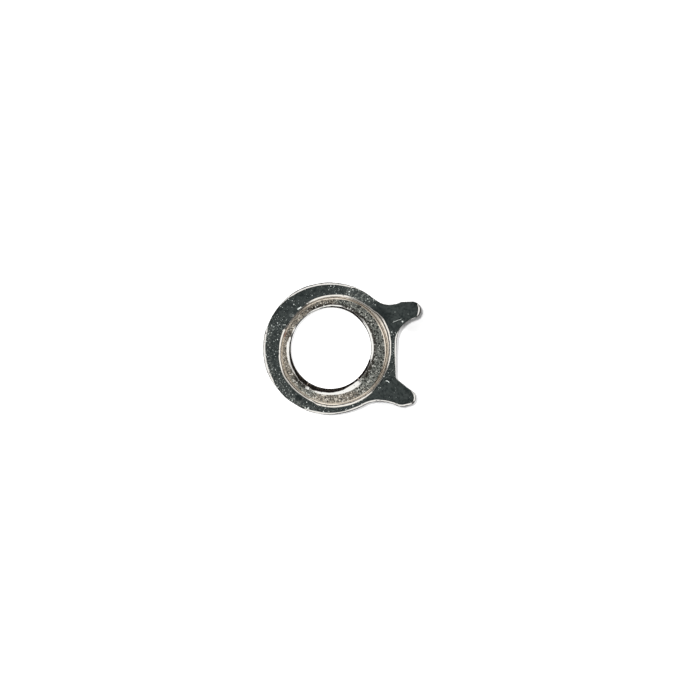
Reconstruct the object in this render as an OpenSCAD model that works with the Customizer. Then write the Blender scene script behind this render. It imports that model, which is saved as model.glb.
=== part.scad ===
// Watch click: a flat steel ring that turns on a post, with two beaks on its +X side.
// The upper beak and the lower beak point to either side of a hollow bay. The ring's top has a turned recess,
// a little off the centre of the bore, where the head of the screw or a washer lies below the polished face.
// The origin is on the underside at the centre of the bore, +Z is up along the bore, sizes are in millimetres.

/* [Ring] */
// Diameter of the ring without its beaks
ring_d = 3.0; // [2.9:0.05:4.0]
// Thickness of the click
thickness = 0.50; // [0.36:0.01:0.80]
// Width and height of the bevel round the top face
top_bevel = 0.060; // [0.02:0.005:0.075]
// Width and height of the broken edge round the underside
under_bevel = 0.020; // [0.005:0.005:0.05]

/* [Bore] */
// Diameter of the bore that turns on the post
bore_d = 1.83; // [1.40:0.01:2.00]
// Width and height of the bevel where the recess floor drops into the bore
lip_bevel = 0.080; // [0.02:0.005:0.09]

/* [Recess] */
// Diameter of the recess where its rim meets the top face
recess_d = 2.545; // [2.49:0.005:2.59]
// Distance from the bore's axis to the recess's axis
recess_off = 0.115; // [0.10:0.005:0.13]
// Direction from the bore to the axis of the recess
recess_turn = -27; // [-35:1:-15]
// Width and height of the bevel round the rim of the recess
rim_bevel = 0.045; // [0.01:0.005:0.05]
// Depth of the narrow shelf inside the rim
shelf_depth = 0.13; // [0.08:0.01:0.16]
// Diameter of the sunk floor, whose edge leaves the shelf
floor_d = 2.32; // [2.18:0.01:2.33]
// Distance from the bore's axis to the axis of the sunk floor
floor_off = 0.105; // [0.09:0.005:0.115]
// Direction from the bore to the axis of the sunk floor
floor_turn = -46; // [-55:1:-35]
// Depth of the sunk floor below the top face
recess_depth = 0.20; // [0.18:0.01:0.24]

/* [Upper beak] */
// Direction from the bore to the centre of the upper beak's round tip
upper_tip_turn = 25.3; // [24:0.1:27]
// Distance from the ring's edge to the centre of the upper tip
upper_tip_out = 0.545; // [0.50:0.005:0.70]
// Radius of the upper tip
upper_tip_r = 0.195; // [0.15:0.005:0.22]
// Direction from the bore to the centre of the upper beak's head
upper_head_turn = 26.7; // [25:0.1:28]
// Distance from the ring's edge to the centre of the upper head
upper_head_out = 0.38; // [0.30:0.01:0.42]
// Radius of the upper head
upper_head_r = 0.215; // [0.20:0.005:0.24]
// Radius of the hollow under the upper beak
upper_bay_r = 0.54; // [0.40:0.01:0.70]
// Radius of the hollow where the upper beak's back leaves the ring
upper_root_r = 0.46; // [0.30:0.01:0.70]

/* [Lower beak] */
// Direction from the bore to the centre of the lower beak's round tip
lower_tip_turn = -32.1; // [-34:0.1:-31]
// Distance from the ring's edge to the centre of the lower tip
lower_tip_out = 0.59; // [0.55:0.01:0.70]
// Radius of the lower tip
lower_tip_r = 0.170; // [0.14:0.005:0.20]
// Direction from the bore to the centre of the lower beak's belly
lower_belly_turn = -33.7; // [-36:0.1:-33]
// Distance from the ring's edge to the centre of the lower belly
lower_belly_out = 0.45; // [0.40:0.01:0.50]
// Radius of the lower belly
lower_belly_r = 0.225; // [0.20:0.005:0.25]
// Radius of the hollow where the lower beak's back leaves the ring
lower_root_r = 0.77; // [0.50:0.01:1.20]
// Direction from the bore to the hollow inside the lower beak
lower_bay_turn = -21; // [-22.5:0.5:-19]
// Distance from the ring's edge to the centre of that hollow
lower_bay_out = 0.225; // [0.19:0.005:0.26]
// Radius of the hollow inside the lower beak
lower_bay_r = 0.135; // [0.08:0.005:0.16]

/* [Hidden] */

// How far a straight facet of the outline may lie from its true arc
arc_error = 0.001;
// How far a cutter runs past the faces that it opens
overcut = 0.1;
// How far the bevelled band reaches inwards past its bevel, to overlap the plain core
band_overlap = 0.02;
band_w = top_bevel + band_overlap;

ring_r = ring_d / 2;
bore_r = bore_d / 2;
recess_r = recess_d / 2;
floor_r = floor_d / 2;
shelf_z = thickness - shelf_depth;
floor_z = thickness - recess_depth;

function polar(turn, distance) = distance * [cos(turn), sin(turn)];

// A circle of the outline is [x, y, r]. Its r is negative where the outline is hollow.
function beyond_ring(turn, out, r) = concat(polar(turn, ring_r + out), r);

// The circle of radius r that touches circle a and then circle b, on the outer side of the way from a to b
function touching(a, b, r) =
    let (
        way = [b.x - a.x, b.y - a.y],
        gap = norm(way),
        from_a = a.z - r,
        from_b = b.z - r,
        along = (from_a ^ 2 - from_b ^ 2 + gap ^ 2) / (2 * gap),
        aside = sqrt(from_a ^ 2 - along ^ 2)
    )
    [a.x + (way.x * along + way.y * aside) / gap, a.y + (way.y * along - way.x * aside) / gap, r];

ring = [0, 0, ring_r];
upper_tip = beyond_ring(upper_tip_turn, upper_tip_out, upper_tip_r);
upper_head = beyond_ring(upper_head_turn, upper_head_out, upper_head_r);
upper_bay = touching(ring, upper_tip, -upper_bay_r);
upper_root = touching(upper_head, ring, -upper_root_r);
lower_belly = beyond_ring(lower_belly_turn, lower_belly_out, lower_belly_r);
lower_tip = beyond_ring(lower_tip_turn, lower_tip_out, lower_tip_r);
lower_root = touching(ring, lower_belly, -lower_root_r);
lower_bay = beyond_ring(lower_bay_turn, lower_bay_out, -lower_bay_r);

// The outline runs anticlockwise along these circles, and along the straight tangent where two lie apart.
chain = [
    ring, upper_bay, upper_tip, upper_head, upper_root,
    ring, lower_root, lower_belly, lower_tip, lower_bay
];

function whole_turn(angle) = angle - 360 * floor(angle / 360);

// How a circle's radius step compares with its distance: 1 or -1 where the two circles touch
function lean(a, b) = max(-1, min(1, (a.z - b.z) / norm([b.x - a.x, b.y - a.y])));

// Direction of the outward normal where the outline passes from circle a to circle b
function passing(a, b) = atan2(b.y - a.y, b.x - a.x) - acos(lean(a, b));

// The stretch of the outline on circle b, drawn in by an inset. Its end is left out where circle c touches b.
function stretch(a, b, c, inset) =
    let (
        start = passing(a, b),
        end = passing(b, c),
        turn = b.z > 0 ? whole_turn(end - start) : -whole_turn(start - end),
        steps = ceil(abs(turn) / (2 * acos(1 - arc_error / abs(b.z)))),
        last = abs(lean(b, c)) > 0.99999 ? steps - 1 : steps
    )
    [for (k = [0:last]) [b.x, b.y] + polar(start + turn * k / steps, b.z - inset)];

function outline(inset) =
    let (count = len(chain))
    [for (i = [0:count - 1])
        each stretch(chain[(i + count - 1) % count], chain[i], chain[(i + 1) % count], inset)];

// A closed band that follows the outline all round, from a cross-section of [inset, height] corners
module band(profile) {
    count = len(outline(0));
    rows = len(profile);
    corners = [for (q = profile) for (p = outline(q.x)) [p.x, p.y, q.y]];
    faces = [for (row = [0:rows - 1]) for (i = [0:count - 1])
        let (
            here = row * count,
            above = (row + 1) % rows * count,
            j = (i + 1) % count
        )
        [here + i, above + i, above + j, here + j]];
    polyhedron(points = corners, faces = faces, convexity = 6);
}

// The click without its hole and recess: a band with bevelled edges round a plain core that it overlaps
module blank() {
    band([
        [band_w, 0],
        [under_bevel, 0],
        [0, under_bevel],
        [0, thickness - top_bevel],
        [top_bevel, thickness],
        [band_w, thickness]
    ]);
    linear_extrude(thickness)
        polygon(outline((top_bevel + band_w) / 2));
}

// The hole for the post, with both of its mouths bevelled
module bore() {
    translate([0, 0, -overcut])
        rotate_extrude()
            polygon([
                [0, 0],
                [bore_r + under_bevel + overcut, 0],
                [bore_r, overcut + under_bevel],
                [bore_r, overcut + floor_z - lip_bevel],
                [bore_r + lip_bevel + overcut, 2 * overcut + floor_z],
                [0, 2 * overcut + floor_z]
            ]);
}

// The outer turning of the recess: a bevelled rim, an upright wall and the shelf
module rim_turning() {
    wall_r = recess_r - rim_bevel;
    translate(concat(polar(recess_turn, recess_off), 0))
        rotate_extrude()
            polygon([
                [0, shelf_z],
                [wall_r, shelf_z],
                [wall_r, thickness - rim_bevel],
                [recess_r + overcut, thickness + overcut],
                [0, thickness + overcut]
            ]);
}

// The inner turning of the recess, down to the grained floor
module floor_turning() {
    translate(concat(polar(floor_turn, floor_off), floor_z))
        cylinder(h = recess_depth + overcut, r = floor_r, $fn = 96);
}

module click() {
    color([0.27, 0.29, 0.28])
        difference() {
            blank();
            bore($fn = 96);
            rim_turning($fn = 96);
            floor_turning();
        }
}

click();
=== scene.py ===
"""Looks of the watch click: one fine mesh of the same shape as the CAD solid, its steel finishes, the floor,
the light and the camera.

The mesh is written in millimetres on the CAD frame and scaled to metres at the end. Its outline and its
turned features repeat the named sizes of the CAD source. What the CAD leaves plain is added here: edges
whose bevel was worked by hand and changes from place to place, the fine turned steps beside the recess
wall, the wandering edge and the grain of the recess floor, and the finish of every surface.
"""

import math

import bpy
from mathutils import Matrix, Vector, noise
from mathutils.geometry import delaunay_2d_cdt


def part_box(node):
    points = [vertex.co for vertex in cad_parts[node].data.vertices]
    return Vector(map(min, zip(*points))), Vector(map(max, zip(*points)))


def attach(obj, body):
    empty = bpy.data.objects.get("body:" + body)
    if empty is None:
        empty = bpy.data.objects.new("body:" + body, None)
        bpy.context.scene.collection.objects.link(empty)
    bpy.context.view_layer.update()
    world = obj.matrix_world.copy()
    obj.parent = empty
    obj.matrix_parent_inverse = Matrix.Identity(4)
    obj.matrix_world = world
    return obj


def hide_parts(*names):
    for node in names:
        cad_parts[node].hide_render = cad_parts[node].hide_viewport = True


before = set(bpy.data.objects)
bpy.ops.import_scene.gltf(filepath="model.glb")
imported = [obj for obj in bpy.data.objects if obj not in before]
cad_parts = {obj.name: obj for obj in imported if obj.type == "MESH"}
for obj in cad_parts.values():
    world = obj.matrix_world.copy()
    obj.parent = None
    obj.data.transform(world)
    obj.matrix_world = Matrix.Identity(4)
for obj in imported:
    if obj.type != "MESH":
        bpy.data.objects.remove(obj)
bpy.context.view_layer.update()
node_low, node_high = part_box("click")

MM = 0.001

# Sizes repeated from the CAD source, in millimetres and degrees
THICKNESS = (node_high.z - node_low.z) / MM
RING_R = 1.5
UNDER_BEVEL = 0.020
BORE_R = 0.915
RECESS_DEPTH = 0.20
RECESS_R = 1.2725
RECESS_OFF, RECESS_TURN = 0.115, -27
FLOOR_R = 1.16
FLOOR_OFF, FLOOR_TURN = 0.105, -46
UPPER_TIP = (25.3, 0.545, 0.195)
UPPER_HEAD = (26.7, 0.38, 0.215)
UPPER_BAY_R = 0.54
UPPER_ROOT_R = 0.46
LOWER_TIP = (-32.1, 0.59, 0.170)
LOWER_BELLY = (-33.7, 0.45, 0.225)
LOWER_ROOT_R = 0.77
LOWER_BAY = (-21, 0.225, -0.135)

FLOOR_Z = THICKNESS - RECESS_DEPTH

# How fine the mesh is
OUTLINE_STEP = 0.014
AROUND = 720
WALL_ROWS = 3
SHELF_ROWS = 26
FLOOR_ROWS = 16
UNDER_ROWS = 3

# A worked edge seen in section: tilts of its steep foot, its bright bevel and its soft roll to the flat
FOOT_TILTS = (42, 41, 40)
BRIGHT_TILTS = (29, 28, 27, 25, 23)
SOFT_TILTS = (11, 9, 7)
SOFT_SHARE = 0.25

# Rows of faces across a worked edge, and how many of them belong to its foot and its bright bevel
EDGE_ROWS = len(FOOT_TILTS) + len(BRIGHT_TILTS) + len(SOFT_TILTS)
HARD_ROWS = len(FOOT_TILTS) + len(BRIGHT_TILTS)

# Zones of the surface, each with its own finish, and the pairs of zones that meet without a sharp corner
FACE, EDGE, SIDE, UNDER, RIM, WALL, SHELF, STEP, FLOOR, LIP, FOOT, BORE = range(12)
SMOOTH_PAIRS = ({FACE, EDGE}, {FACE, RIM}, {FLOOR, LIP}, {LIP, FOOT})

# The flat faces are cut into triangles inside their edges (a mode of the call), within this nearness
CDT_INSIDE = 1
CDT_NEARNESS = 1e-7

# The top edge at distances along the outline, which starts in the bay and runs anticlockwise: width of the
# foot, width of the bright bevel, and how far the edge stands out. The bevel is missing from the flank and
# the back of the upper beak and from three stretches of the ring, where the edge was left nearly sharp.
TOP_EDGE = (
    (0.00, 0.005, 0.038, -0.006),
    (0.32, 0.014, 0.030, 0.010),
    (0.42, 0.008, 0.016, 0.006),
    (0.52, 0.003, 0.004, 0.000),
    (0.86, 0.003, 0.004, 0.000),
    (1.00, 0.010, 0.006, 0.000),
    (1.07, 0.028, 0.024, 0.008),
    (1.13, 0.034, 0.034, 0.010),
    (1.22, 0.030, 0.034, 0.006),
    (1.30, 0.018, 0.026, 0.000),
    (1.39, 0.003, 0.004, 0.000),
    (1.67, 0.003, 0.004, 0.002),
    (1.80, 0.003, 0.004, 0.016),
    (1.95, 0.003, 0.004, 0.030),
    (2.10, 0.003, 0.004, 0.026),
    (2.22, 0.003, 0.004, 0.020),
    (2.49, 0.003, 0.004, -0.004),
    (2.76, 0.003, 0.006, -0.004),
    (2.92, 0.006, 0.016, 0.002),
    (3.03, 0.012, 0.032, -0.004),
    (3.30, 0.018, 0.028, -0.006),
    (3.57, 0.018, 0.036, 0.002),
    (3.85, 0.018, 0.032, 0.002),
    (4.12, 0.018, 0.034, 0.014),
    (4.39, 0.018, 0.032, 0.020),
    (4.55, 0.008, 0.020, 0.016),
    (4.66, 0.006, 0.015, 0.012),
    (4.85, 0.003, 0.004, 0.013),
    (5.35, 0.003, 0.004, 0.016),
    (5.48, 0.012, 0.038, 0.030),
    (5.75, 0.012, 0.038, 0.028),
    (5.90, 0.010, 0.040, 0.028),
    (6.02, 0.010, 0.044, 0.029),
    (6.29, 0.012, 0.044, 0.031),
    (6.56, 0.010, 0.040, 0.026),
    (6.72, 0.004, 0.014, 0.012),
    (6.83, 0.003, 0.004, 0.006),
    (7.10, 0.003, 0.004, 0.008),
    (7.38, 0.003, 0.004, -0.004),
    (7.58, 0.003, 0.006, 0.000),
    (7.65, 0.008, 0.034, 0.006),
    (7.92, 0.006, 0.042, 0.000),
    (8.19, 0.012, 0.034, 0.000),
    (8.46, 0.022, 0.018, -0.010),
    (8.73, 0.020, 0.032, -0.010),
    (9.00, 0.018, 0.034, -0.004),
    (9.28, 0.010, 0.034, 0.002),
    (9.45, 0.008, 0.026, 0.012),
    (9.60, 0.008, 0.026, 0.018),
    (9.75, 0.010, 0.028, 0.016),
    (9.90, 0.012, 0.032, 0.008),
    (10.09, 0.010, 0.032, 0.002),
    (10.36, 0.012, 0.032, -0.008),
    (10.46, 0.006, 0.030, -0.004),
    (10.56, 0.003, 0.004, -0.003),
    (10.63, 0.003, 0.004, -0.003),
    (10.90, 0.003, 0.004, 0.010),
    (11.05, 0.003, 0.004, 0.004),
    (11.18, 0.004, 0.040, -0.012),
)

# The lip of the bore by direction in degrees: how far it stands back from the bore, and the widths of its
# steep foot, of its bright bevel and of its soft roll
LIP_EDGE = (
    (0, 0.007, 0.010, 0.048, 0.075),
    (18, 0.008, 0.012, 0.044, 0.078),
    (34, 0.008, 0.020, 0.044, 0.075),
    (41, 0.010, 0.032, 0.044, 0.050),
    (44, 0.012, 0.034, 0.030, 0.050),
    (48, 0.014, 0.034, 0.006, 0.070),
    (60, 0.022, 0.046, 0.004, 0.030),
    (68, 0.022, 0.038, 0.010, 0.014),
    (76, 0.024, 0.038, 0.030, 0.010),
    (90, 0.020, 0.034, 0.026, 0.010),
    (102, 0.016, 0.022, 0.018, 0.012),
    (110, 0.010, 0.014, 0.026, 0.012),
    (125, 0.006, 0.006, 0.026, 0.012),
    (135, 0.004, 0.012, 0.016, 0.012),
    (150, 0.000, 0.010, 0.026, 0.014),
    (158, -0.004, 0.018, 0.016, 0.014),
    (166, -0.008, 0.030, 0.036, 0.014),
    (174, -0.008, 0.032, 0.062, 0.014),
    (180, -0.008, 0.036, 0.058, 0.014),
    (190, -0.006, 0.046, 0.046, 0.014),
    (200, -0.004, 0.056, 0.036, 0.014),
    (210, 0.000, 0.062, 0.024, 0.014),
    (218, 0.000, 0.074, 0.010, 0.012),
    (225, 0.000, 0.096, 0.004, 0.010),
    (236, 0.000, 0.100, 0.004, 0.008),
    (238, 0.000, 0.094, 0.060, 0.008),
    (241, 0.000, 0.096, 0.058, 0.008),
    (243, 0.000, 0.114, 0.004, 0.008),
    (247, 0.000, 0.118, 0.006, 0.008),
    (251, 0.000, 0.106, 0.028, 0.008),
    (255, 0.000, 0.098, 0.046, 0.008),
    (260, 0.000, 0.092, 0.050, 0.008),
    (270, -0.002, 0.092, 0.046, 0.008),
    (285, -0.004, 0.074, 0.072, 0.008),
    (298, -0.006, 0.050, 0.102, 0.008),
    (305, -0.008, 0.048, 0.100, 0.008),
    (311, -0.008, 0.052, 0.096, 0.008),
    (314, -0.010, 0.056, 0.016, 0.012),
    (317, -0.010, 0.052, 0.005, 0.060),
    (330, -0.010, 0.050, 0.005, 0.080),
    (341, -0.006, 0.044, 0.012, 0.080),
    (346, 0.003, 0.010, 0.044, 0.075),
)

# The rim of the recess by direction in degrees: how far it reaches out, and the widths of its foot, of its
# bright bevel and of its soft roll
RIM_EDGE = (
    (0, 0.000, 0.026, 0.024, 0.004),
    (8, 0.018, 0.028, 0.030, 0.004),
    (18, 0.036, 0.030, 0.032, 0.004),
    (30, 0.044, 0.028, 0.030, 0.004),
    (36, 0.030, 0.020, 0.024, 0.006),
    (42, 0.002, 0.014, 0.020, 0.008),
    (55, -0.006, 0.012, 0.026, 0.006),
    (75, 0.014, 0.008, 0.042, 0.006),
    (90, 0.004, 0.010, 0.036, 0.006),
    (108, 0.000, 0.008, 0.036, 0.006),
    (118, -0.012, 0.008, 0.028, 0.006),
    (123, -0.034, 0.008, 0.014, 0.004),
    (135, -0.045, 0.006, 0.014, 0.004),
    (146, -0.048, 0.006, 0.014, 0.004),
    (149, -0.046, 0.008, 0.012, 0.004),
    (152, -0.030, 0.006, 0.034, 0.004),
    (158, -0.006, 0.010, 0.036, 0.006),
    (180, 0.000, 0.012, 0.030, 0.006),
    (195, 0.018, 0.014, 0.030, 0.006),
    (210, 0.034, 0.014, 0.028, 0.008),
    (225, 0.012, 0.016, 0.024, 0.008),
    (240, -0.006, 0.014, 0.024, 0.008),
    (251, -0.004, 0.014, 0.024, 0.008),
    (257, 0.020, 0.022, 0.030, 0.006),
    (270, 0.015, 0.022, 0.030, 0.006),
    (285, 0.000, 0.020, 0.036, 0.004),
    (300, -0.004, 0.018, 0.036, 0.004),
    (313, -0.006, 0.020, 0.024, 0.006),
    (320, 0.000, 0.010, 0.010, 0.036),
    (330, 0.000, 0.010, 0.012, 0.034),
    (342, -0.008, 0.020, 0.026, 0.010),
)

# How unevenly the edges were worked: how far their borders wander, and how often to the millimetre
UNEVEN = 0.007
UNEVEN_PLACES = 12

# How far the edge of the sunk floor runs outside its true circle, by direction in degrees
FLOOR_EDGE = (
    (0, 0.004),
    (20, 0.016),
    (35, 0.030),
    (48, 0.044),
    (60, 0.058),
    (72, 0.050),
    (85, 0.036),
    (100, 0.038),
    (112, 0.024),
    (130, 0.000),
    (345, 0.000),
)

# The turned shelf: its depth where it meets the wall, and how it slopes to the floor
SHELF_START = 0.095
SHELF_TILT = 23

# The grooves turned in the shelf: distance and direction of a groove's axis, its radius, half its width and
# its depth
GROOVES = (
    (0.085, -20, 1.190, 0.008, 0.016),
    (0.108, -26, 1.204, 0.005, 0.010),
)

# The grain of the recess floor
GRAIN_SIZE = 0.044
GRAIN_HEIGHT = 0.006

# The polished face: its colours, and its specks in cells to the millimetre, strength and softness of choice
# The deep and dark colours are painted dark reflection: far darker than steel, for the dark lens that the
# flat face mirrors.
FACE_DEEP_REFLECTION = (0.024, 0.036, 0.037)
FACE_DARK_REFLECTION = (0.175, 0.205, 0.197)
FACE_RUBBED = (0.56, 0.60, 0.55)
FACE_PALE = (0.90, 0.95, 0.91)
FACE_SPECKS = ((24.0, 0.9, 0.12), (33.0, 0.8, 0.16), (45.0, 0.5, 0.20), (58.0, 0.5, 0.20))

# Its single marks: scratches from start to end with half their width, and spots with radius and strength
FACE_SCRATCHES = (
    ((1.256, -0.730), (1.290, -0.734), 0.009),
    ((1.290, -0.734), (1.325, -0.762), 0.009),
    ((1.407, 0.597), (1.604, 0.668), 0.004),
    ((-0.735, 0.892), (-0.670, 0.935), 0.015),
    ((-0.500, -1.340), (-0.530, -1.385), 0.014),
)
FACE_SPOTS = (
    (1.629, 0.613, 0.020, 1.0),
    (-0.887, 0.751, 0.045, 0.35),
    (0.419, 1.230, 0.014, 1.0),
    (0.425, 1.290, 0.016, 1.0),
)

# The worn bright line on the shelf, a little outside the floor's true circle
WORN_LINE_R = FLOOR_R + 0.014

# The grained floor: its colours, and its glints in cells to the millimetre and strength
FLOOR_COOL = (0.78, 0.81, 0.73)
FLOOR_WARM = (1.0, 0.90, 0.75)
FLOOR_DARK = (0.04, 0.045, 0.04)
FLOOR_BROWN = (0.08, 0.065, 0.05)
FLOOR_GLINT = (0.98, 0.98, 0.94)
FLOOR_GLINTS = ((26.0, 1.0), (38.0, 0.8))

# The cards in the white tent that the steel mirrors: a lens at the top, the dark above and below, and four
# gaps between the panels. Each has a name, azimuths, elevations and a radiance.
CARDS = (
    ("card_lens", (0, 360), (80, 90), 0.33),
    ("card_overhead", (0, 360), (66, 80), 0.07),
    ("card_low", (0, 360), (0, 20), 0.02),
    ("card_gap_1", (18, 62), (20, 66), 0.65),
    ("card_gap_2", (133, 163), (20, 66), 0.26),
    ("card_gap_3", (213, 250), (20, 66), 0.35),
    ("card_gap_4", (303, 330), (20, 66), 0.12),
)
CARD_STEPS = 24
DOME_R = 80

# The key lamp: its lean from upright, the direction it shines from, its spread in degrees and its strength
KEY_LEAN = 9
KEY_TURN = 149
KEY_SPREAD = 5
KEY_STRENGTH = 1.05

# The floor of the stage: half its width, how far it lies below the click, and where its painted glow is cut
# so that the shadows of the beaks show on it: x, y, radius and share
STAGE_SIZE = 150
STAGE_DROP = 0.004
BEAK_SHADE = ((1.94, 0.67, 0.41, 1.0), (1.45, -1.30, 0.45, 0.85))

# Where the photograph's frame lies on the part
FRAME_WIDTH = 15.84
FRAME_CENTRE = (0.441, -0.032)
LENS = 100.0
SENSOR = 36.0


def polar(turn, distance):
    angle = math.radians(turn)
    return Vector((distance * math.cos(angle), distance * math.sin(angle)))


BORE_AXIS = Vector((0, 0))
RIM_AXIS = polar(RECESS_TURN, RECESS_OFF)
FLOOR_AXIS = polar(FLOOR_TURN, FLOOR_OFF)

# Directions from the bore's axis in which the corners of the recess and of the bore lie
TURNS = [360 * k / AROUND for k in range(AROUND)]
DIRECTIONS = [polar(turn, 1) for turn in TURNS]


def beyond_ring(turn, out, radius):
    """A circle of the outline: its centre, and its radius, which is negative where the outline is hollow."""
    return polar(turn, RING_R + out), radius


def touching(a, b, radius):
    """The circle of that radius that touches circle a and then circle b, outside the way from a to b."""
    way = b[0] - a[0]
    gap = way.length
    from_a, from_b = a[1] - radius, b[1] - radius
    along = (from_a**2 - from_b**2 + gap**2) / (2 * gap)
    aside = math.sqrt(from_a**2 - along**2)
    return a[0] + (way * along + Vector((way.y, -way.x)) * aside) / gap, radius


def outline_circles():
    ring = (Vector((0, 0)), RING_R)
    upper_tip, upper_head = beyond_ring(*UPPER_TIP), beyond_ring(*UPPER_HEAD)
    lower_belly, lower_tip = beyond_ring(*LOWER_BELLY), beyond_ring(*LOWER_TIP)
    return [
        ring,
        touching(ring, upper_tip, -UPPER_BAY_R),
        upper_tip,
        upper_head,
        touching(upper_head, ring, -UPPER_ROOT_R),
        ring,
        touching(ring, lower_belly, -LOWER_ROOT_R),
        lower_belly,
        lower_tip,
        beyond_ring(*LOWER_BAY),
    ]


def passing(a, b):
    """Direction in radians of the outward normal where the outline passes from circle a to circle b."""
    way = b[0] - a[0]
    lean = max(-1.0, min(1.0, (a[1] - b[1]) / way.length))
    return math.atan2(way.y, way.x) - math.acos(lean)


def outline():
    """Points and outward normals, anticlockwise and evenly close, along the arcs and the tangents."""
    circles = outline_circles()
    corners = []
    for i, (centre, radius) in enumerate(circles):
        start = passing(circles[i - 1], circles[i])
        end = passing(circles[i], circles[(i + 1) % len(circles)])
        full = 2 * math.pi
        turn = (end - start) % full if radius > 0 else -((start - end) % full)
        steps = max(2, math.ceil(abs(turn * radius) / OUTLINE_STEP))
        for k in range(steps + 1):
            angle = start + turn * k / steps
            normal = Vector((math.cos(angle), math.sin(angle)))
            corners.append((centre + normal * radius, normal))
    points = []
    for point, normal in corners:
        if points and (point - points[-1][0]).length < OUTLINE_STEP / 4:
            continue
        if points:
            last = points[-1][0]
            pieces = round((point - last).length / OUTLINE_STEP)
            for k in range(1, pieces):
                points.append((last.lerp(point, k / pieces), normal))
        points.append((point, normal))
    if (points[0][0] - points[-1][0]).length < OUTLINE_STEP / 4:
        points.pop()
    return points


def distances(points):
    """How far along the closed way each point lies, and the length of the whole way."""
    marks = [0.0]
    for a, b in zip(points, points[1:] + points[:1]):
        marks.append(marks[-1] + (b - a).length)
    return marks[:-1], marks[-1]


def between(stations, at, whole):
    """Values at a place between stations that are listed round a closed way."""
    closed = [*stations, (whole, *stations[0][1:])]
    for low, high in zip(closed, closed[1:]):
        if at <= high[0]:
            t = (at - low[0]) / (high[0] - low[0])
            t = t * t * (3 - 2 * t)
            return [a + (b - a) * t for a, b in zip(low[1:], high[1:])]
    return list(closed[-1][1:])


def edge_section(foot, bright, soft):
    """A worked edge from its steep foot to the flat: how far in from the foot and how far below the flat."""
    rows = [(0.0, 0.0)]
    for width, tilts in ((foot, FOOT_TILTS), (bright, BRIGHT_TILTS), (soft, SOFT_TILTS)):
        across = width / len(tilts)
        for tilt in tilts:
            rise = across * math.tan(math.radians(tilt))
            rows.append((rows[-1][0] + across, rows[-1][1] + rise))
    top = rows[-1][1]
    return [(across, top - up) for across, up in rows]


def uneven(point, foot, bright):
    """The widths of a foot and its bevel, with the border between them shifted to and fro along the edge."""
    place = Vector((point.x, point.y, 0)) * UNEVEN_PLACES
    shift = UNEVEN * noise.noise(place)
    shift = max(-0.5 * foot, min(0.5 * bright, shift))
    return foot + shift, bright - shift


def on_circle(direction, centre, radius):
    """The point of a circle that lies in that direction from the bore's axis."""
    along = centre.dot(direction)
    return direction * (along + math.sqrt(radius**2 - centre.length_squared + along**2))


class Shell:
    """Gathers loops of corners and the faces between them, with a zone number for each face."""

    def __init__(self):
        self.corners = []
        self.faces = []
        self.zones = []

    def loop(self, points, heights):
        first = len(self.corners)
        for point, height in zip(points, heights):
            self.corners.append((point.x, point.y, height))
        return list(range(first, len(self.corners)))

    def bridge(self, outer, inner, zone):
        """Quads between two loops of equal count. From the side that shows, outer runs anticlockwise."""
        count = len(outer)
        for i in range(count):
            j = (i + 1) % count
            self.faces.append((outer[i], outer[j], inner[j], inner[i]))
            self.zones.append(zone)

    def plate(self, outer, inner, zone, up):
        """A flat face between an outer loop and the loop of a hole."""
        known = outer + inner
        flat = [Vector(self.corners[k][:2]) for k in known]
        count, hole_count = len(outer), len(inner)
        edges = [(i, (i + 1) % count) for i in range(count)]
        edges += [(count + i, count + (i + 1) % hole_count) for i in range(hole_count)]
        hole_r = min(point.length for point in flat[count:])
        made = delaunay_2d_cdt(flat, edges, [], CDT_INSIDE, CDT_NEARNESS)
        places, triangles, sources = made[0], made[2], made[3]
        for triangle in triangles:
            middle = sum((places[k] for k in triangle), Vector((0, 0))) / 3
            in_hole = middle.length < hole_r or all(sources[k][0] >= count for k in triangle)
            if in_hole:
                continue
            ring = [known[sources[k][0]] for k in triangle]
            self.faces.append(tuple(ring if up else reversed(ring)))
            self.zones.append(zone)


def level(points, height):
    return [height] * len(points)


def shelf_height(point):
    """Height at a place of the sloping shelf and its turned grooves, which fade out to the left."""
    inward = RECESS_R - (point - RIM_AXIS).length
    height = THICKNESS - SHELF_START - inward * math.tan(math.radians(SHELF_TILT))
    fade = max(0.0, 0.5 + 0.7 * point.x / RECESS_R)
    for off, turn, radius, half, depth in GROOVES:
        away = ((point - polar(turn, off)).length - radius) / half
        height -= fade * depth * math.exp(-(away**2))
    return height


def grain(point):
    """Height of the floor's grain, from -1 to 1."""
    place = Vector((point.x, point.y, 0.4 * GRAIN_SIZE)) / GRAIN_SIZE
    return 0.7 * noise.noise(place) + 0.3 * noise.noise(2.3 * place + Vector((5, 9, 2)))


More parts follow.
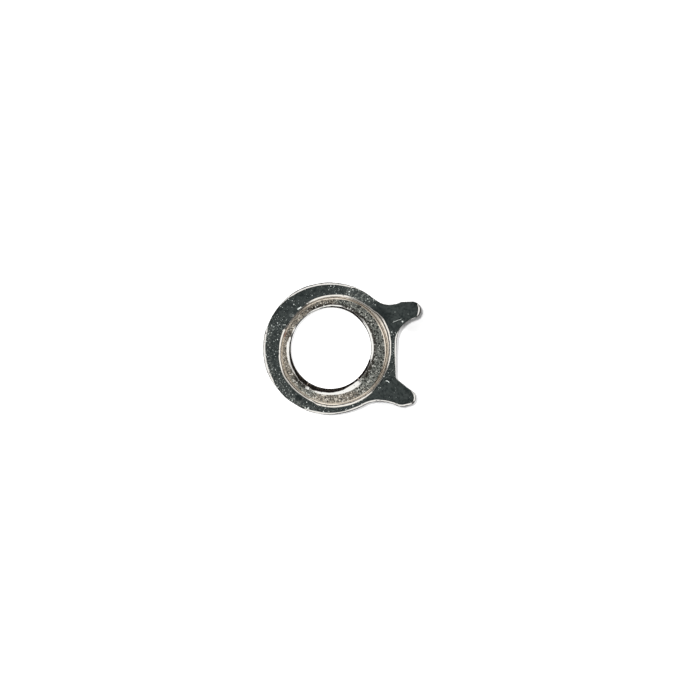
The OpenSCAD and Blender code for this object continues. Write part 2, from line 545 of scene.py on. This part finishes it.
def build_outside(shell):
    """The side and the worked top edge. Returns the loops where the underside and the top face begin."""
    path = outline()
    points = [point for point, _ in path]
    normals = [normal for _, normal in path]
    marks, whole = distances(points)
    stations = [between(TOP_EDGE, mark, whole) for mark in marks]
    sections = []
    for point, (foot, bright, _) in zip(points, stations):
        foot, bright = uneven(point, foot, bright)
        sections.append(edge_section(foot, bright, SOFT_SHARE * bright))
    out = [stand_out for _, _, stand_out in stations]
    edge_z = [THICKNESS - section[0][1] for section in sections]

    # Rows from the underside up: distances in from the outline, heights, and zone
    rows = []
    for k in range(1, UNDER_ROWS + 1):
        turn = math.radians(90 * k / UNDER_ROWS)
        depth = UNDER_BEVEL * (1 - math.sin(turn))
        height = UNDER_BEVEL * (1 - math.cos(turn))
        rows.append((level(points, depth), level(points, height), SIDE))
    for k in range(1, WALL_ROWS + 1):
        share = k / WALL_ROWS
        heights = [UNDER_BEVEL + (z - UNDER_BEVEL) * share for z in edge_z]
        rows.append(([-o * share for o in out], heights, SIDE))
    for k in range(1, EDGE_ROWS + 1):
        depths = [section[k][0] - o for section, o in zip(sections, out)]
        heights = [THICKNESS - section[k][1] for section in sections]
        rows.append((depths, heights, EDGE if k <= HARD_ROWS else FACE))

    def loop_at(depths, heights):
        return shell.loop([p - n * d for p, n, d in zip(points, normals, depths)], heights)

    under = loop_at(level(points, UNDER_BEVEL), level(points, 0.0))
    last = under
    for depths, heights, zone in rows:
        made = loop_at(depths, heights)
        shell.bridge(last, made, zone)
        last = made
    return under, last


def inner_edge(stations, at_radius):
    """The offsets and the sections of a worked edge inside the ring, one for each direction."""
    offsets, sections = [], []
    for turn, direction in zip(TURNS, DIRECTIONS):
        offset, foot, bright, soft = between(stations, turn, 360)
        offsets.append(offset)
        sections.append(edge_section(*uneven(direction * at_radius, foot, bright), soft))
    return offsets, sections


def rim_rows():
    """Rows of the worked rim of the recess and of the upright wall under it."""
    offsets, rims = inner_edge(RIM_EDGE, RECESS_R)
    radii = [RECESS_R + out - rim[-1][0] for out, rim in zip(offsets, rims)]
    rows = []
    for k in range(EDGE_ROWS, -1, -1):
        ring = [
            on_circle(d, RIM_AXIS, radius + rim[k][0])
            for d, radius, rim in zip(DIRECTIONS, radii, rims)
        ]
        heights = [THICKNESS - rim[k][1] for rim in rims]
        rows.append((ring, heights, FACE if k >= HARD_ROWS else RIM))
    wall_top = rows[-1][0]
    rows.append((wall_top, [shelf_height(p) for p in wall_top], WALL))
    return rows


def shelf_rows(wall_foot, floor_edge):
    """Rows of the sloping shelf and of the step from it to the floor."""
    rows = []
    for k in range(1, SHELF_ROWS + 1):
        ring = [a.lerp(b, k / SHELF_ROWS) for a, b in zip(wall_foot, floor_edge)]
        rows.append((ring, [shelf_height(p) for p in ring], SHELF))
    rows.append((floor_edge, level(floor_edge, FLOOR_Z), STEP))
    return rows


def floor_rows(floor_edge, lip_edge):
    """Rows of the floor. Its grain is faded out at the step and at the lip."""
    rows = []
    for k in range(1, FLOOR_ROWS + 1):
        share = k / FLOOR_ROWS
        fade = min(1.0, 4 * share * (1 - share))
        ring = [a.lerp(b, share) for a, b in zip(floor_edge, lip_edge)]
        rows.append((ring, [FLOOR_Z + GRAIN_HEIGHT * fade * grain(p) for p in ring], FLOOR))
    return rows


def lip_rows(lips, mouth):
    """Rows of the worked lip, down to the mouth of the bore."""
    rows = []
    for k in range(EDGE_ROWS - 1, -1, -1):
        ring = [d * (r + lip[k][0]) for d, r, lip in zip(DIRECTIONS, mouth, lips)]
        heights = [FLOOR_Z - lip[k][1] for lip in lips]
        zone = FOOT if k < len(FOOT_TILTS) else LIP if k < HARD_ROWS else FLOOR
        rows.append((ring, heights, zone))
    return rows


def bore_rows(mouth, tops):
    """Rows of the bore's wall, from its mouth to its broken lower edge."""
    rows = []
    for k in range(1, WALL_ROWS + 1):
        share = k / WALL_ROWS
        ring = [d * (BORE_R + (r - BORE_R) * (1 - share)) for d, r in zip(DIRECTIONS, mouth)]
        rows.append((ring, [z + (UNDER_BEVEL - z) * share for z in tops], BORE))
    for k in range(1, UNDER_ROWS + 1):
        turn = math.radians(90 * k / UNDER_ROWS)
        ring = [d * (BORE_R + UNDER_BEVEL * (1 - math.cos(turn))) for d in DIRECTIONS]
        rows.append((ring, level(ring, UNDER_BEVEL * (1 - math.sin(turn))), BORE))
    return rows


def build_inside(shell):
    """The recess and the bore, from the rim down. Returns the loops where top face and underside end."""
    floor_radii = [FLOOR_R + between(FLOOR_EDGE, turn, 360)[0] for turn in TURNS]
    floor_edge = [on_circle(d, FLOOR_AXIS, r) for d, r in zip(DIRECTIONS, floor_radii)]
    offsets, lips = inner_edge(LIP_EDGE, 1)
    mouth = [BORE_R + back for back in offsets]
    lip_edge = [d * (r + lip[-1][0]) for d, r, lip in zip(DIRECTIONS, mouth, lips)]

    rows = rim_rows()
    rows += shelf_rows(rows[-1][0], floor_edge)
    rows += floor_rows(floor_edge, lip_edge)
    rows += lip_rows(lips, mouth)
    rows += bore_rows(mouth, rows[-1][1])

    top = shell.loop(rows[0][0], rows[0][1])
    last = top
    for ring, heights, zone in rows[1:]:
        made = shell.loop(ring, heights)
        shell.bridge(last, made, zone)
        last = made
    return top, last


def build_click():
    """The whole click as one closed shell."""
    shell = Shell()
    outer_under, outer_top = build_outside(shell)
    inner_top, inner_under = build_inside(shell)
    shell.plate(outer_top, inner_top, FACE, True)
    shell.plate(outer_under, inner_under, UNDER, False)
    return shell


def mesh_from(shell, name, materials):
    """A mesh in metres with a material for each zone, sharp where two zones meet at a corner."""
    mesh = bpy.data.meshes.new(name)
    corners = [(x * MM, y * MM, z * MM) for x, y, z in shell.corners]
    mesh.from_pydata(corners, [], shell.faces)
    for material in materials:
        mesh.materials.append(material)
    mesh.polygons.foreach_set("material_index", shell.zones)
    mesh.polygons.foreach_set("use_smooth", [True] * len(shell.faces))
    zones_of = {}
    for face, zone in zip(shell.faces, shell.zones):
        for i in range(len(face)):
            pair = frozenset((face[i], face[(i + 1) % len(face)]))
            zones_of.setdefault(pair, set()).add(zone)
    mesh.update(calc_edges=True)
    sharp = mesh.attributes.new("sharp_edge", "BOOLEAN", "EDGE")
    flags = []
    for edge in mesh.edges:
        zones = zones_of[frozenset(edge.vertices)]
        flags.append(len(zones) > 1 and zones not in SMOOTH_PAIRS)
    sharp.data.foreach_set("value", flags)
    mesh.validate()
    return mesh


def add_object(name, data):
    thing = bpy.data.objects.new(name, data)
    bpy.context.scene.collection.objects.link(thing)
    return thing


class Finish:
    """A material, metal unless it is set otherwise, with short calls that add nodes and link them.

    Lengths in it are millimetres. Each call returns the output of what it added.
    """

    def __init__(self, name, colour, roughness):
        self.material = bpy.data.materials.new(name)
        self.material.use_nodes = True
        self.nodes = self.material.node_tree.nodes
        self.links = self.material.node_tree.links
        self.shader = self.nodes["Principled BSDF"]
        self.shader.inputs["Base Color"].default_value = (*colour, 1)
        self.shader.inputs["Metallic"].default_value = 1.0
        self.shader.inputs["Roughness"].default_value = roughness
        place = self.nodes.new("ShaderNodeTexCoord")
        self.place = self.vector("SCALE", place.outputs["Object"], 1 / MM)

    def put(self, value, socket):
        """Link an output to a socket, or set the socket to a plain value."""
        if isinstance(value, bpy.types.NodeSocket):
            self.links.new(value, socket)
        elif isinstance(value, tuple) and len(value) == 3 and socket.type == "RGBA":
            socket.default_value = (*value, 1)
        else:
            socket.default_value = value

    def math(self, operation, a, b=0.0, clamp=False):
        node = self.nodes.new("ShaderNodeMath")
        node.operation = operation
        node.use_clamp = clamp
        self.put(a, node.inputs[0])
        self.put(b, node.inputs[1])
        return node.outputs[0]

    def plus(self, *terms):
        total = terms[0]
        for term in terms[1:]:
            total = self.math("ADD", total, term)
        return total

    def minus(self, a, b, clamp=False):
        return self.math("SUBTRACT", a, b, clamp)

    def times(self, a, b):
        return self.math("MULTIPLY", a, b)

    def most(self, *masks):
        total = masks[0]
        for mask in masks[1:]:
            total = self.math("MAXIMUM", total, mask)
        return total

    def vector(self, operation, a, b):
        node = self.nodes.new("ShaderNodeVectorMath")
        node.operation = operation
        self.put(a, node.inputs[0])
        self.put(b, node.inputs["Scale" if operation == "SCALE" else 1])
        scalar = operation in ("DOT_PRODUCT", "LENGTH", "DISTANCE")
        return node.outputs["Value" if scalar else "Vector"]

    def toward(self, x, y):
        """How far a place lies towards that side of the part, with the slope that x and y give."""
        return self.vector("DOT_PRODUCT", self.place, (x, y, 0.0))

    def stretched(self, x, y, z):
        """Places scaled along each axis: a noise there runs in lines across the axes of large scale."""
        return self.vector("MULTIPLY", self.place, (x, y, z))

    def flat(self):
        return self.stretched(1, 1, 0)

    def around(self, axis):
        """Distance from an upright axis."""
        return self.vector("DISTANCE", self.flat(), (axis.x, axis.y, 0))

    def off_circle(self, axis, radius):
        """Distance from the circle of that radius round an upright axis."""
        return self.math("ABSOLUTE", self.minus(self.around(axis), radius))

    def noise(self, place, scale, detail=2.0, rough=0.5):
        node = self.nodes.new("ShaderNodeTexNoise")
        self.put(place, node.inputs["Vector"])
        node.inputs["Scale"].default_value = scale
        node.inputs["Detail"].default_value = detail
        node.inputs["Roughness"].default_value = rough
        return node.outputs["Fac"]

    def rings(self, axis, scale):
        """Rings round an upright axis, as a tool leaves them."""
        node = self.nodes.new("ShaderNodeTexNoise")
        node.noise_dimensions = "1D"
        node.inputs["Scale"].default_value = scale
        self.links.new(self.around(axis), node.inputs["W"])
        return node.outputs["Fac"]

    def cells(self, scale):
        """Scattered cells: the distance to the nearest centre, and two random numbers for the cell."""
        node = self.nodes.new("ShaderNodeTexVoronoi")
        self.put(self.place, node.inputs["Vector"])
        node.inputs["Scale"].default_value = scale
        apart = self.nodes.new("ShaderNodeSeparateColor")
        self.links.new(node.outputs["Color"], apart.inputs[0])
        return node.outputs["Distance"], apart.outputs[0], apart.outputs[1]

    def ramp(self, value, low, high, to_low=0.0, to_high=1.0):
        """A smooth step from to_low to to_high, as value goes from low to high."""
        node = self.nodes.new("ShaderNodeMapRange")
        node.interpolation_type = "SMOOTHSTEP"
        self.put(value, node.inputs["Value"])
        self.put(low, node.inputs["From Min"])
        self.put(high, node.inputs["From Max"])
        self.put(to_low, node.inputs["To Min"])
        self.put(to_high, node.inputs["To Max"])
        return node.outputs["Result"]

    def blend(self, share, a, b):
        """Colour a, turned into colour b by the share."""
        node = self.nodes.new("ShaderNodeMix")
        node.data_type = "RGBA"
        self.put(share, node.inputs[0])
        self.put(a, node.inputs[6])
        self.put(b, node.inputs[7])
        return node.outputs[2]

    def spot(self, x, y, radius):
        """A round mark, 1 inside and 0 outside."""
        return self.ramp(self.around(Vector((x, y))), 1.3 * radius, 0.6 * radius)

    def scratch(self, start, end, half):
        """A straight mark from start to end, 1 inside and 0 outside."""
        start, end = Vector((*start, 0)), Vector((*end, 0))
        way = end - start
        off = self.vector("SUBTRACT", self.flat(), tuple(start))
        along = self.vector("DOT_PRODUCT", off, tuple(way))
        share = self.math("MULTIPLY", along, 1 / way.length_squared, True)
        nearest = self.vector("SCALE", tuple(way), share)
        return self.ramp(self.vector("DISTANCE", off, nearest), 1.15 * half, 0.85 * half)

    def bump(self, height, depth):
        """Relief from a height of 0 to 1, as deep as depth."""
        node = self.nodes.new("ShaderNodeBump")
        node.inputs["Distance"].default_value = depth * MM
        self.put(height, node.inputs["Height"])
        self.links.new(node.outputs["Normal"], self.shader.inputs["Normal"])

    def colour(self, value):
        self.put(value, self.shader.inputs["Base Color"])

    def roughness(self, value):
        self.put(value, self.shader.inputs["Roughness"])

    def metallic(self, value):
        self.put(value, self.shader.inputs["Metallic"])


def face_base(finish, tone, dark_patches, rubbed):
    """Colour of the polished face under its specks: dark clouds in tones of painted dark reflection, darker
    patches and grey rubbed patches.
    """
    base = finish.blend(finish.ramp(tone, 0.30, 0.60), FACE_DEEP_REFLECTION, FACE_DARK_REFLECTION)
    base = finish.blend(finish.times(dark_patches, 0.55), base, FACE_DEEP_REFLECTION)
    patches = finish.ramp(finish.noise(finish.place, 27.0, 3.0, 0.6), 0.49, 0.60)
    return finish.blend(finish.times(rubbed, patches), base, FACE_RUBBED)


def face_speck_share(finish, dark_patches, rubbed):
    """The share of cells with a speck: more on rough parts, fewer on the beaks and none on the darker
    patches.
    """
    clouds = finish.ramp(finish.noise(finish.place, 3.2, 3.0), 0.36, 0.66, 0.14, 0.44)
    beaks = finish.ramp(finish.around(BORE_AXIS), 1.40, 1.62, 0.0, 0.20)
    beak_root = finish.spot(1.33, -0.75, 0.33)
    upper_right = finish.spot(0.72, 1.15, 0.42)
    dusty = finish.most(upper_right, finish.spot(-0.35, -1.36, 0.45))
    rough_parts = finish.most(
        upper_right,
        finish.spot(-1.15, -0.62, 0.60),
        finish.spot(-1.20, 0.35, 0.50),
        finish.spot(0.10, -1.42, 0.45),
    )
    share = finish.plus(
        clouds,
        finish.times(rough_parts, 0.21),
        finish.times(beak_root, 0.16),
        finish.times(dusty, 0.09),
        finish.times(rubbed, 0.10),
    )
    return finish.minus(finish.minus(share, beaks), dark_patches)


def face_specks(finish, share):
    """Scattered specks of four sizes, and the single marks that can be told apart on the real face."""
    specks = 0.0
    for scale, strength, softness in FACE_SPECKS:
        far, chance, shade = finish.cells(scale)
        size = finish.times(shade, 0.18)
        shape = finish.ramp(far, finish.plus(size, 0.24), finish.plus(size, 0.05))
        picked = finish.ramp(finish.minus(share, chance), 0.0, softness, 0.0, strength)
        picked = finish.times(picked, finish.ramp(shade, 0.0, 1.0, 0.2, 1.0))
        specks = finish.most(specks, finish.times(shape, picked))
    marks = [finish.scratch(*mark) for mark in FACE_SCRATCHES]
    marks += [finish.times(finish.spot(x, y, radius), strength) for x, y, radius, strength in FACE_SPOTS]
    return finish.most(specks, *marks)


def polished_face():
    """Black-polished steel: cool and mirror-like, with pits and dust that catch the light. Its dark colour
    is painted dark reflection, far darker than steel, for the dark lens that the flat face mirrors.
    """
    finish = Finish("polished_face", FACE_DARK_REFLECTION, 0.09)
    tone = finish.noise(finish.place, 21.0, 5.0, 0.75)
    # Two spots where the face is set darker, with no specks on them.
    dark_patches = finish.most(finish.spot(1.10, 0.70, 0.24), finish.spot(-0.72, -1.12, 0.07))
    by_edge = finish.ramp(finish.around(BORE_AXIS), 1.33, 1.42)
    at_left = finish.ramp(finish.toward(-1.0, -0.55), 1.00, 1.20)
    rubbed = finish.most(finish.times(by_edge, at_left), finish.spot(0.62, 1.25, 0.30))
    base = face_base(finish, tone, dark_patches, rubbed)
    specks = face_specks(finish, face_speck_share(finish, dark_patches, rubbed))
    finish.colour(finish.blend(specks, base, FACE_PALE))
    finish.roughness(finish.ramp(specks, 0.0, 1.0, 0.09, 0.65))
    finish.metallic(finish.ramp(specks, 0.5, 1.0, 1.0, 0.6))
    finish.bump(finish.plus(specks, finish.times(tone, 0.3)), 0.0025)
    return finish.material


def worked_edge(name, colour, freckles):
    """A burnished bevel in the colour given, with small dull freckles in that share of its cells. Its colour
    is painted: far brighter than steel for painted highlight on the bright bevels, dark for painted shade on
    the lip's foot.
    """
    finish = Finish(name, colour, 0.14)
    far, chance, _ = finish.cells(24.0)
    picked = finish.ramp(chance, 1 - freckles, 1 - 0.8 * freckles)
    freckle = finish.times(finish.ramp(far, 0.50, 0.25), picked)
    finish.colour(finish.blend(freckle, colour, tuple(0.38 * c for c in colour)))
    finish.roughness(finish.ramp(freckle, 0.0, 1.0, 0.13, 0.40))
    finish.bump(finish.noise(finish.place, 40.0, 2.0), 0.0010)
    return finish.material


def cut_side():
    """The cut and filed side: fine lines along the edge."""
    finish = Finish("cut_side", (0.46, 0.46, 0.445), 0.3)
    lines = finish.noise(finish.stretched(3, 3, 90), 1.0, 4.0, 0.65)
    dark_patches = finish.noise(finish.stretched(2, 2, 12), 1.0, 3.0)
    tone = finish.plus(finish.times(lines, 0.6), finish.times(dark_patches, 0.4))
    tone = finish.ramp(tone, 0.36, 0.66)
    finish.colour(finish.blend(tone, (0.50, 0.50, 0.485), (0.36, 0.36, 0.345)))
    finish.roughness(finish.ramp(lines, 0.3, 0.7, 0.22, 0.42))
    finish.bump(lines, 0.003)
    return finish.material


def ground_underside():
    """The ground underside: straight fine grain."""
    finish = Finish("ground_underside", (0.45, 0.45, 0.44), 0.3)
    lines = finish.noise(finish.stretched(2.5, 90, 1), 1.0, 4.0, 0.65)
    dark_patches = finish.ramp(finish.noise(finish.place, 2.5, 3.0), 0.4, 0.75)
    finish.colour(finish.blend(dark_patches, (0.48, 0.48, 0.46), (0.36, 0.35, 0.33)))
    finish.roughness(finish.ramp(lines, 0.3, 0.7, 0.24, 0.40))
    finish.bump(lines, 0.003)
    return finish.material


def shelf_dirt_and_shade(finish, rings, patches, to_left):
    """Darkening of the turned shelf: dirty rings, more at the left and less on the clean stretches, and
    painted shade along its grooves.
    """
    dirt_and_shade = finish.plus(finish.times(rings, 0.60), finish.times(patches, 0.40), to_left)
    dirt_and_shade = finish.ramp(dirt_and_shade, 0.42, 0.64, 0.0, 0.85)
    grit = finish.ramp(finish.noise(finish.place, 20.0, 3.0, 0.6), 0.46, 0.62)
    dirt_and_shade = finish.most(dirt_and_shade, finish.times(grit, finish.ramp(to_left, -0.07, 0.02, 0.05, 0.62)))
    clean = finish.most(
        finish.spot(-0.85, 0.72, 0.20),
        finish.spot(0.05, -1.27, 0.28),
        finish.spot(0.42, 1.12, 0.36),
        finish.spot(0.95, 0.85, 0.32),
    )
    dirt_and_shade = finish.minus(dirt_and_shade, finish.times(clean, 0.35), True)
    grains = finish.ramp(finish.noise(finish.place, 26.0, 2.0, 0.6), 0.44, 0.56, 0.2, 1.0)
    dirt_and_shade = finish.most(dirt_and_shade, finish.times(finish.spot(-1.05, -0.35, 0.75), grains))

    worn_line = finish.ramp(finish.off_circle(FLOOR_AXIS, WORN_LINE_R), 0.020, 0.008)
    worn_line = finish.times(worn_line, finish.ramp(to_left, 0.0, -0.08, 0.0, 0.7))
    dirt_and_shade = finish.minus(dirt_and_shade, worn_line, True)

    # Painted shade: the turned grooves are drawn darker, as shade lies in them.
    for off, turn, radius, half, _ in GROOVES:
        away = finish.off_circle(polar(turn, off), radius)
        line = finish.ramp(away, 1.5 * half, 0.6 * half, 0.0, 80 * half)
        dirt_and_shade = finish.most(dirt_and_shade, finish.times(line, finish.ramp(to_left, 0.06, 0.0)))
    return dirt_and_shade


def turned_shelf():
    """The turned shelf: warm and bright, with fine rings left by the tool, dirty patches, painted shade in
    its grooves and a spot of rust.
    """
    pale, deep, rusty = (0.98, 0.89, 0.77), (0.28, 0.23, 0.17), (0.24, 0.13, 0.10)
    finish = Finish("turned_shelf", pale, 0.2)
    rings = finish.rings(RIM_AXIS, 30.0)
    patches = finish.noise(finish.place, 16.0, 4.0, 0.7)
    dirt_and_shade = shelf_dirt_and_shade(finish, rings, patches, finish.toward(-0.08, 0.05))
    base = finish.blend(dirt_and_shade, pale, deep)
    rust = finish.times(finish.spot(-1.00, 0.31, 0.08), finish.ramp(patches, 0.35, 0.60, 0.3, 0.9))
    finish.colour(finish.blend(rust, base, rusty))
    finish.roughness(finish.ramp(patches, 0.3, 0.7, 0.14, 0.28))
    finish.bump(rings, 0.002)
    return finish.material


def floor_base(finish, to_left, clouds):
    """Colour of the floor under its glints: tinted metal, the gaps between its grains, and dark places."""
    patches = finish.noise(finish.place, 7.0, 3.0, 0.6)
    # The tint turns the floor warmer and lighter towards the lower left; its lightness is painted light.
    tint = finish.plus(finish.times(to_left, 1.6), finish.times(patches, 1.2))
    tint = finish.minus(tint, finish.times(finish.spot(-0.66, -0.92, 0.42), 0.95))
    tint = finish.plus(tint, finish.times(finish.spot(-0.50, 0.98, 0.75), 1.1))
    base = finish.blend(finish.ramp(tint, 0.45, 0.95), FLOOR_COOL, FLOOR_WARM)
    gaps = finish.ramp(finish.minus(clouds, finish.times(to_left, 0.05)), 0.50, 0.59)
    base = finish.blend(finish.times(gaps, 0.94), base, FLOOR_DARK)

    from_bore = finish.around(BORE_AXIS)
    roll = finish.ramp(from_bore, 1.07, 1.00)
    roll = finish.times(roll, finish.ramp(to_left, 0.0, -0.15, 0.0, 0.88))
    by_lip = finish.ramp(from_bore, 1.14, 1.05, 0.0, 0.8)
    by_lip = finish.times(by_lip, finish.spot(-0.68, -0.80, 0.26))
    rust = finish.times(finish.spot(-0.98, 0.33, 0.10), finish.ramp(patches, 0.35, 0.60, 0.2, 0.9))
    return finish.blend(finish.most(roll, by_lip, rust), base, FLOOR_BROWN)


def floor_glints(finish, to_left):
    """Bright grains of two sizes, more of them at the left, and one larger fleck."""
    share = finish.ramp(to_left, -0.3, 0.4, 0.16, 0.26)
    glints = 0.0
    for scale, strength in FLOOR_GLINTS:
        far, chance, shade = finish.cells(scale)
        picked = finish.ramp(finish.minus(share, chance), 0.0, 0.04, 0.0, strength)
        picked = finish.times(picked, finish.ramp(shade, 0.0, 1.0, 0.50, 1.0))
        glints = finish.most(glints, finish.times(finish.ramp(far, 0.58, 0.28), picked))
    fleck = finish.scratch((0.434, 0.872), (0.456, 0.918), 0.014)
    return finish.most(glints, finish.times(fleck, 0.7))


def grained_floor():
    """The grained floor: dark and bright grains, greenish grey at the right and warm and lighter at the
    left. The lighter left is painted light, for how light falls on the floor there.
    """
    finish = Finish("grained_floor", FLOOR_COOL, 0.3)
    to_left = finish.toward(-0.42, -0.34)
    clouds = finish.noise(finish.place, 24.0, 3.0, 0.65)
    base = floor_base(finish, to_left, clouds)
    glints = floor_glints(finish, to_left)
    finish.colour(finish.blend(glints, base, FLOOR_GLINT))
    finish.roughness(finish.ramp(glints, 0.0, 1.0, 0.20, 0.85))
    finish.metallic(finish.ramp(glints, 0.4, 1.0, 1.0, 0.7))
    finish.bump(finish.minus(glints, clouds), 0.006)
    return finish.material


def honed_bore():
    """The bore: honed rings round the wall."""
    finish = Finish("honed_bore", (0.55, 0.55, 0.53), 0.2)
    lines = finish.noise(finish.stretched(2, 2, 90), 1.0, 3.0, 0.6)
    finish.roughness(finish.ramp(lines, 0.3, 0.7, 0.14, 0.30))
    finish.bump(lines, 0.002)
    return finish.material


def zone_materials():
    """A material for each zone of the surface, in the order of the zones' numbers."""
    face = polished_face()
    # The edge, rim and lip are steel set far brighter than steel: painted highlight.
    edge = worked_edge("edge_painted_highlight", (0.86, 0.84, 0.80), 0.10)
    side = cut_side()
    under = ground_underside()
    rim = worked_edge("rim_painted_highlight", (0.92, 0.88, 0.81), 0.06)
    shelf = turned_shelf()
    floor = grained_floor()
    lip = worked_edge("lip_painted_highlight", (0.94, 0.93, 0.89), 0.05)
    # The lip's steep foot is steel set dark: painted shade.
    foot = worked_edge("foot_painted_shade", (0.22, 0.19, 0.17), 0.05)
    bore = honed_bore()
    return [face, edge, side, under, rim, shelf, shelf, shelf, floor, lip, foot, bore]


def sky_card(name, azimuths, elevations, radiance):
    """A card on a dome round the part, seen in reflections and not by the camera."""
    dome = DOME_R * MM
    corners, faces = [], []
    for i in range(CARD_STEPS + 1):
        azimuth = azimuths[0] + (azimuths[1] - azimuths[0]) * i / CARD_STEPS
        for j in range(CARD_STEPS + 1):
            up = math.radians(elevations[0] + (elevations[1] - elevations[0]) * j / CARD_STEPS)
            across = polar(azimuth, dome * math.cos(up))
            corners.append((across.x, across.y, dome * math.sin(up)))
    for i in range(CARD_STEPS):
        for j in range(CARD_STEPS):
            k = i * (CARD_STEPS + 1) + j
            faces.append((k, k + 1, k + CARD_STEPS + 2, k + CARD_STEPS + 1))
    mesh = bpy.data.meshes.new(name)
    mesh.from_pydata(corners, [], faces)
    material = bpy.data.materials.new(name)
    material.use_nodes = True
    nodes, links = material.node_tree.nodes, material.node_tree.links
    nodes.clear()
    glow = nodes.new("ShaderNodeEmission")
    glow.inputs["Strength"].default_value = radiance
    out = nodes.new("ShaderNodeOutputMaterial")
    links.new(glow.outputs[0], out.inputs["Surface"])
    mesh.materials.append(material)
    card = add_object(name, mesh)
    card.visible_camera = False
    card.visible_shadow = False


def build_light():
    """A white tent with dark cards in it, and a key lamp high at the upper left."""
    world = bpy.data.worlds.new("studio")
    world.use_nodes = True
    sky = world.node_tree.nodes["Background"]
    sky.inputs["Color"].default_value = (1, 1, 1, 1)
    sky.inputs["Strength"].default_value = 1.0
    world.cycles.sampling_method = "NONE"
    bpy.context.scene.world = world
    for card in CARDS:
        sky_card(*card)
    key = bpy.data.lights.new("key", "SUN")
    key.energy = KEY_STRENGTH * math.pi
    key.angle = math.radians(KEY_SPREAD)
    lamp = add_object("key", key)
    across = polar(KEY_TURN, math.sin(math.radians(KEY_LEAN)))
    way = Vector((across.x, across.y, math.cos(math.radians(KEY_LEAN))))
    lamp.rotation_mode = "QUATERNION"
    lamp.rotation_quaternion = way.to_track_quat("Z", "Y")
    lamp.visible_glossy = False


def build_floor():
    """A pale floor that the camera and the steel see as white. Its glow is painted light: stronger within
    1.1 mm of the bore, where it hides the click's shadow, weaker beyond 1.4 mm, and cut in spots by the
    beaks, where their shadows stay.
    """
    size, drop = STAGE_SIZE * MM, -STAGE_DROP * MM
    mesh = bpy.data.meshes.new("floor")
    corners = [(-size, -size, drop), (size, -size, drop), (size, size, drop), (-size, size, drop)]
    mesh.from_pydata(corners, [], [(0, 1, 2, 3)])
    finish = Finish("floor_white", (0.66, 0.66, 0.66), 1.0)
    finish.metallic(0.0)
    finish.shader.inputs["Specular IOR Level"].default_value = 0.0
    finish.shader.inputs["Emission Color"].default_value = (1, 1, 1, 1)
    rays = finish.nodes.new("ShaderNodeLightPath").outputs
    seen = finish.most(*(rays[f"Is {kind} Ray"] for kind in ("Camera", "Glossy", "Transmission")))
    # Painted light: the glow is stronger near the bore and hides the click's shadow there.
    glow = finish.ramp(finish.around(BORE_AXIS), 1.1, 1.4, 0.60, 0.45)
    shaded = finish.most(
        *(finish.times(finish.spot(x, y, radius), share) for x, y, radius, share in BEAK_SHADE)
    )
    strength = finish.times(seen, finish.times(glow, finish.minus(1.0, shaded)))
    finish.put(strength, finish.shader.inputs["Emission Strength"])
    mesh.materials.append(finish.material)
    floor = add_object("floor", mesh)


def build_camera():
    """The camera straight above the part, framed as the photograph."""
    data = bpy.data.cameras.new("camera")
    data.lens = LENS
    data.sensor_width = SENSOR
    data.clip_start = 1 * MM
    data.clip_end = 1.0
    camera = add_object("camera", data)
    distance = FRAME_WIDTH * LENS / SENSOR
    camera.location = (
        FRAME_CENTRE[0] * MM,
        FRAME_CENTRE[1] * MM,
        (THICKNESS + distance) * MM,
    )
    bpy.context.scene.camera = camera


build_camera()
build_light()
build_floor()

click = add_object("click_steel", mesh_from(build_click(), "click_steel", zone_materials()))
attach(click, "root")
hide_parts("click")

bpy.context.scene.view_settings.view_transform = "Standard"
